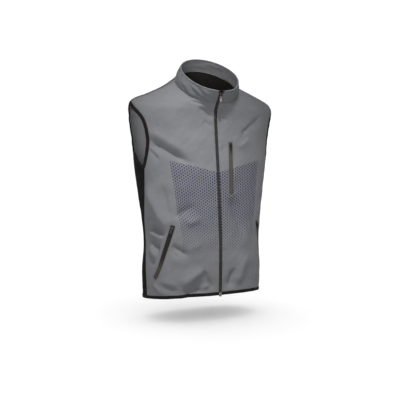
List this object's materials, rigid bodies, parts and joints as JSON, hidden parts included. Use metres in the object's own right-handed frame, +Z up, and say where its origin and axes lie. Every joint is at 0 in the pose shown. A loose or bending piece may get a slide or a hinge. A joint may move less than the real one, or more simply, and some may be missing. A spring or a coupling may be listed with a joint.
{
  "type": "insulated vest",
  "caption": "Sleeveless insulated softshell vest in worn form, with a stand-up collar, full front zip, bound armholes and hem, and zipped chest and hand pockets.",
  "frame": {"origin": "between the shoulders on the middle plane, level with the sides of the neck, where the vest rests on its wearer", "axes": "+Z up, the front faces -Y, +X towards the wearer's left"},
  "size_m": [0.4834, 0.2312, 0.7198],
  "materials": {
    "shell_grey": "matt woven stretch shell with a fine dot print over the chest and belly",
    "side_black": "matt black stretch knit",
    "back_charcoal": "matt charcoal stretch knit",
    "binding_black": "flat black elastic binding",
    "zip_black": "black reverse-coil zip tape",
    "pocket_zip": "warm grey coated zip tape",
    "slider_dark": "satin black enamel",
    "pull_pale": "satin nickel",
    "box_taupe": "moulded end box"
  },
  "bodies": {
    "vest": {"front_right": "shell_grey", "front_left": "shell_grey", "collar": "shell_grey", "back": "back_charcoal", "side_right": "side_black", "side_left": "side_black", "neck_facing": "side_black", "armhole_binding_right": "binding_black", "armhole_binding_left": "binding_black", "hem_binding": "binding_black", "front_zip_tape_right": "zip_black", "front_zip_tape_left": "zip_black", "front_zip_coil": "zip_black", "front_zip_box": "box_taupe", "front_zip_slider": "slider_dark", "chest_zip_tape": "pocket_zip", "chest_zip_slider": "slider_dark", "hand_zip_right_tape": "pocket_zip", "hand_zip_right_slider": "slider_dark", "hand_zip_left_tape": "pocket_zip", "hand_zip_left_slider": "slider_dark"},
    "front_zip_pull": {"front_zip_pull": "pull_pale"},
    "chest_zip_pull": {"chest_zip_pull": "slider_dark"},
    "hand_zip_right_pull": {"hand_zip_right_pull": "slider_dark"},
    "hand_zip_left_pull": {"hand_zip_left_pull": "slider_dark"}
  },
  "joints": [
    {"name": "front_pull_swing", "type": "hinge", "parent": "vest", "child": "front_zip_pull", "pos_m": [0, -0.10494, -0.04777], "axis": [-1, 0, 0], "range_deg": [-30, 130]},
    {"name": "chest_pull_swing", "type": "hinge", "parent": "vest", "child": "chest_zip_pull", "pos_m": [0.04677, -0.08544, -0.18796], "axis": [-0.9986, -0.0321, 0.0425], "range_deg": [0, 160]},
    {"name": "hand_pull_right_swing", "type": "hinge", "parent": "vest", "child": "hand_zip_right_pull", "pos_m": [-0.14611, -0.07925, -0.42779], "axis": [-0.7895, 0.5434, 0.2851], "range_deg": [0, 160]},
    {"name": "hand_pull_left_swing", "type": "hinge", "parent": "vest", "child": "hand_zip_left_pull", "pos_m": [0.14611, -0.07925, -0.42779], "axis": [-0.7895, -0.5434, -0.2851], "range_deg": [0, 160]}
  ]
}
